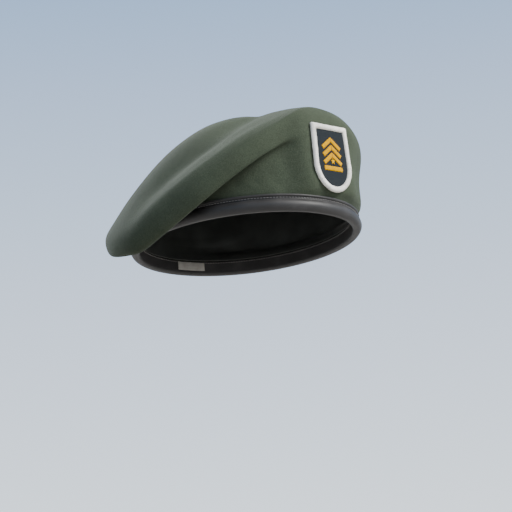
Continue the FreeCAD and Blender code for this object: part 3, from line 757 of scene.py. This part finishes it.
def merrow_border():
    """Overlocked edge: thread wraps laid side by side over the cloth's rim."""
    counts = (240, 200, 420)
    outer = soften_corners(shield_outline(0.0, *counts), 30)
    inner = soften_corners(shield_outline(BORDER_WIDE, *counts), 6)
    lengths = np.linalg.norm(np.roll(outer, -1, 0) - outer, axis=1)
    run = np.concatenate(([0.0], np.cumsum(lengths)[:-1]))
    wraps = round(lengths.sum() / WRAP_PITCH)
    turn = run / lengths.sum() * wraps * 2.0 * math.pi
    across = np.linspace(0.0, 1.0, 13)
    draw = np.random.default_rng(8)
    uneven = np.interp(turn, np.linspace(0, turn[-1], 90), draw.uniform(-1, 1, 90))
    sections = []
    for t in across:
        rib = np.abs(np.cos(0.5 * (turn + 3.0 * t))) ** 0.6 - 0.5
        arch = math.sin(math.pi * t) ** 0.55
        flat = mix(inner, outer, 0.5 - 0.5 * math.cos(math.pi * t))
        push = (WRAP_PROUD * rib + 0.16 * uneven)[:, None] * unit(outer - inner) * (2.0 * t - 1.0)
        rise = (BORDER_THICK - 0.35) * arch + (WRAP_PROUD * rib + 0.10 * uneven) * arch
        height = BACKING_LOW + rise
        sections.append(np.column_stack((flat + push, height)))
    for t in (0.75, 0.25):
        flat = mix(inner, outer, t)
        sections.append(np.column_stack((flat, np.full(len(flat), BACKING_LOW + 0.02))))
    grid = np.array(sections).transpose(1, 0, 2)
    closed = np.concatenate((grid, grid[:1]))
    faces = grid_faces(len(closed), grid.shape[1])
    wrap = len(grid) * grid.shape[1]
    faces = [[k % wrap for k in face] for face in faces]
    return make_piece("flash_edge", on_flash(grid), faces, WHITE,
                      ("flash_border",))


merrow_border()


SATIN_PITCH = 0.42
THREAD_HIGH = THREAD_LOW + THREAD_THICK


def satin_strip(build, start, stop, half_wide, seed, mitre=0.0):
    """Raised bar of satin stitches laid across the line from start to stop.

    mitre skews the stitches at the start, fading to none at the stop."""
    start, stop = np.array(start, float), np.array(stop, float)
    length = np.linalg.norm(stop - start)
    along = (stop - start) / length
    aside = np.array((-along[1], along[0]))
    count = max(int(length / SATIN_PITCH), 3)
    s = np.linspace(0.0, 1.0, count * 6 + 1)
    draw = np.random.default_rng(seed)
    uneven = np.interp(s, np.linspace(0, 1, count), draw.uniform(-1, 1, count))
    rib = np.abs(np.sin(s * count * math.pi)) ** 0.7
    t = np.linspace(-1.0, 1.0, 9)
    ends_down = np.minimum(1.0, np.minimum(s, 1.0 - s) * length / 0.35) ** 0.5
    skew = mix(mitre, 0.0, s)
    reach = half_wide * (1.0 + 0.02 * uneven) - 0.05 * (1 - rib)
    middle = start + along * (s * length)[:, None]
    flat = middle[:, None] + aside * (t * reach[:, None])[..., None]
    flat = flat + along * (skew[:, None] * t)[..., None]
    arch = np.sqrt(np.maximum(1.0 - np.abs(t) ** 3, 0.0))
    tall = THREAD_HIGH - THREAD_LOW
    height = THREAD_LOW + tall * arch * ends_down[:, None] * (0.78 + 0.22 * rib)[:, None]
    top = np.concatenate((flat, height[..., None]), -1)
    bottom = np.concatenate((flat[:, 1:-1][:, ::-1],
                             np.full((len(s), len(t) - 2, 1), THREAD_LOW)), -1)
    grid = np.concatenate((top, bottom), 1)
    columns = grid.shape[1]
    faces = grid_faces(len(s), columns, flip=True)
    last = (len(s) - 1) * columns
    faces += [list(range(columns)), list(range(last, last + columns))[::-1]]
    build.add(on_flash(grid), faces)


CHEVRON_TOP, CHEVRON_PITCH, CHEVRON_STROKE = 16.6, 5.9, 4.3
CHEVRON_SPAN, CHEVRON_RISE = 10.9, 7.5
ARM_SPAN = CHEVRON_SPAN - 1.0
MITRE_GAP = 0.12


def chevron(name, drop, node):
    """Two satin arms that rise to a mitred point."""
    slope = math.atan2(CHEVRON_RISE, CHEVRON_SPAN)
    half = 0.5 * CHEVRON_STROKE * math.cos(slope)
    apex = CHEVRON_TOP - 0.5 * CHEVRON_STROKE - drop * CHEVRON_PITCH
    build = Build()
    for side in (-1.0, 1.0):
        top = (side * MITRE_GAP, apex)
        foot = (side * ARM_SPAN, apex - CHEVRON_RISE * ARM_SPAN / CHEVRON_SPAN)
        satin_strip(build, top, foot, half, int(20 + 3 * drop + side),
                    -half * math.tan(slope) * side)
    return make_piece(name, build.points_array(), build.faces, GOLD, (node,))


for drop, (name, node) in enumerate((("gold_chevron_a", "chevron_upper"),
                                     ("gold_chevron_b", "chevron_middle"),
                                     ("gold_chevron_c", "chevron_lower"))):
    chevron(name, drop, node)

STAR_LEVEL, STAR_OUTER, STAR_INNER = -2.4, 2.7, 1.15


def gold_star():
    """Five-pointed star of padded thread, its face rising to the middle."""
    corners = []
    for k in range(10):
        angle = math.pi / 2 - k * math.pi / 5
        reach = STAR_OUTER if k % 2 == 0 else STAR_INNER
        corners.append((reach * math.cos(angle), reach * math.sin(angle)))
    corners = np.array(corners)
    s = np.linspace(0.0, 1.0, 8, endpoint=False)[:, None]
    rim = np.concatenate([mix(corners[k], corners[(k + 1) % 10], s) for k in range(10)])
    middle = np.array((0.0, STAR_LEVEL))
    rings = [(1.0, THREAD_LOW), (1.0, THREAD_LOW + 0.3), (0.9, THREAD_LOW + 0.5),
             (0.7, THREAD_HIGH - 0.02), (0.4, THREAD_HIGH + 0.08), (0.15, THREAD_HIGH + 0.14)]
    grid = [np.column_stack((middle + rim * size, np.full(len(rim), height)))
            for size, height in rings]
    points = np.concatenate((np.concatenate(grid), [(*middle, THREAD_HIGH + 0.16),
                                                    (*middle, THREAD_LOW)]))
    faces = fan_closed(len(rings), len(rim))
    return make_piece("gold_star", on_flash(points), faces, GOLD, ("flash_star",))


gold_star()

bar = Build()
BAR_LEVEL, BAR_HALF_LONG, BAR_HALF_TALL = -7.9, 10.3, 1.9
satin_strip(bar, (-BAR_HALF_LONG, BAR_LEVEL), (BAR_HALF_LONG, BAR_LEVEL), BAR_HALF_TALL, 71)
make_piece("gold_bar", bar.points_array(), bar.faces, GOLD, ("flash_bar",))

# Tack stitches round the flash's rim in dark olive thread. The thread is partly its own colour and
# partly painted shade, standing in for the shadow along the border's outer edge.
TACKS = 26
TACK_REACH = np.array((-0.2, 0.1, 0.5, 0.9, 1.1))
TACK_HEIGHT = np.array((0.55, 0.5, 0.35, 0.22, 0.12))
TACK_RADII = np.array((0.12, 0.2, 0.22, 0.2, 0.1))
rim = shield_outline(-0.15, 200, 200, 400)
step = np.linalg.norm(np.roll(rim, -1, 0) - rim, axis=1)
rim_run = np.concatenate(([0.0], np.cumsum(step)[:-1]))
tacks = Build()
for n in range(TACKS):
    k = int(np.searchsorted(rim_run, step.sum() * (n + 0.5) / TACKS)) % len(rim)
    place, ahead = rim[k], unit(rim[(k + 1) % len(rim)] - rim[k - 1])
    away = np.array((-ahead[1], ahead[0]))
    centres = np.column_stack((place + away * TACK_REACH[:, None], TACK_HEIGHT))
    first = np.repeat(np.array([(ahead[0], ahead[1], 0.0)]), len(TACK_REACH), 0)
    second = np.repeat(np.array([(0.0, 0.0, 1.0)]), len(TACK_REACH), 0)
    local = Build()
    local.tube(centres, (first, second), TACK_RADII)
    tacks.add(on_flash(local.points_array()), local.faces)
make_piece("rim_tacks", tacks.points_array(), tacks.faces, OLIVE, ("flash_tacks",))

# The stiffener keeps its CAD shape and takes only a material.
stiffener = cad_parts["flash_stiffener"].data.materials
if not stiffener:
    stiffener.append(BUCKRAM)
for index in range(len(stiffener)):
    stiffener[index] = BUCKRAM


# ------------------------------------------------------------------ stage, light, camera
# Places and sizes from here on are in metres.
def make_floor(level, reach):
    floor = Shader("pale_floor", (0.45, 0.43, 0.40), 0.8)
    floor.link(floor.ramp(floor.noise(3.0, 2.0), [(0.3, (0.43, 0.41, 0.38)),
                                                  (0.7, (0.47, 0.45, 0.42))]), "Base Color")
    mesh = bpy.data.meshes.new("floor")
    mesh.from_pydata([(-reach, -reach, level), (reach, -reach, level), (reach, reach, level),
                      (-reach, reach, level)], [], [(0, 1, 2, 3)])
    mesh.materials.append(floor.material)
    piece = bpy.data.objects.new("floor", mesh)
    bpy.context.scene.collection.objects.link(piece)


def area_light(name, place, aim, size, power, colour):
    data = bpy.data.lights.new(name, "AREA")
    data.shape = "DISK"
    data.size = size
    data.energy = power
    data.color = colour
    light = bpy.data.objects.new(name, data)
    light.location = place
    light.rotation_euler = (Vector(aim) - Vector(place)).to_track_quat("-Z", "Y").to_euler()
    bpy.context.scene.collection.objects.link(light)


FLOOR_LEVEL, FLOOR_REACH = -0.46, 12.0
LIGHT_AIM = (0.0, 0.0, 0.04)
KEY_POWER, RIM_POWER, TOP_POWER = 84.0, 47.0, 6.0
make_floor(FLOOR_LEVEL, FLOOR_REACH)
area_light("key", (1.0, -1.4, 1.2), LIGHT_AIM, 0.9, KEY_POWER, (1.0, 0.98, 0.93))
area_light("rim", (-0.35, 1.65, 1.15), LIGHT_AIM, 1.0, RIM_POWER, (0.97, 0.985, 1.0))
area_light("top", (0.15, -0.1, 1.7), LIGHT_AIM, 1.0, TOP_POWER, (1.0, 0.99, 0.97))


SKY_STOPS = ((0.04, (1.00, 1.09, 1.18)), (0.46, (0.20, 0.37, 0.66)), (0.70, (0.46, 0.45, 0.43)))
SKY_STRENGTH = 1.4


def make_sky():
    """Pale backdrop that deepens upwards and turns to a neutral ceiling overhead."""
    world = bpy.data.worlds.new("studio")
    world.use_nodes = True
    nodes, links = world.node_tree.nodes, world.node_tree.links
    direction = nodes.new("ShaderNodeTexCoord").outputs["Generated"]
    split = nodes.new("ShaderNodeSeparateXYZ")
    ramp = nodes.new("ShaderNodeValToRGB")
    ramp.color_ramp.elements.new(0.7)
    for element, (place, colour) in zip(ramp.color_ramp.elements, SKY_STOPS):
        element.position = place
        element.color = (*colour, 1.0)
    links.new(direction, split.inputs["Vector"])
    links.new(split.outputs["Z"], ramp.inputs["Fac"])
    links.new(ramp.outputs["Color"], nodes["Background"].inputs["Color"])
    nodes["Background"].inputs["Strength"].default_value = SKY_STRENGTH
    bpy.context.scene.world = world


make_sky()

CAMERA_TURN, CAMERA_RISE, CAMERA_ROLL = (math.radians(a) for a in (-28.0, -14.0, 3.6))
CAMERA_DISTANCE = 1.3
CAMERA_SHIFT = (0.0215, -0.0195)
SENSOR_WIDTH = 36.0
IMAGE_SIDE = 512.0
PIXELS_PER_METRE = 1270.0
back = Vector((math.sin(CAMERA_TURN) * math.cos(CAMERA_RISE),
               -math.cos(CAMERA_TURN) * math.cos(CAMERA_RISE), math.sin(CAMERA_RISE)))
camera_data = bpy.data.cameras.new("camera")
camera_data.sensor_width = SENSOR_WIDTH
camera_data.lens = SENSOR_WIDTH * PIXELS_PER_METRE * CAMERA_DISTANCE / IMAGE_SIDE
camera_data.shift_x, camera_data.shift_y = CAMERA_SHIFT
camera = bpy.data.objects.new("camera", camera_data)
camera.location = back * CAMERA_DISTANCE
facing = (-back).to_track_quat("-Z", "Y").to_matrix().to_4x4()
camera.matrix_world = (Matrix.Translation(camera.location) @ facing
                       @ Matrix.Rotation(-CAMERA_ROLL, 4, "Z"))
bpy.context.scene.collection.objects.link(camera)
bpy.context.scene.camera = camera
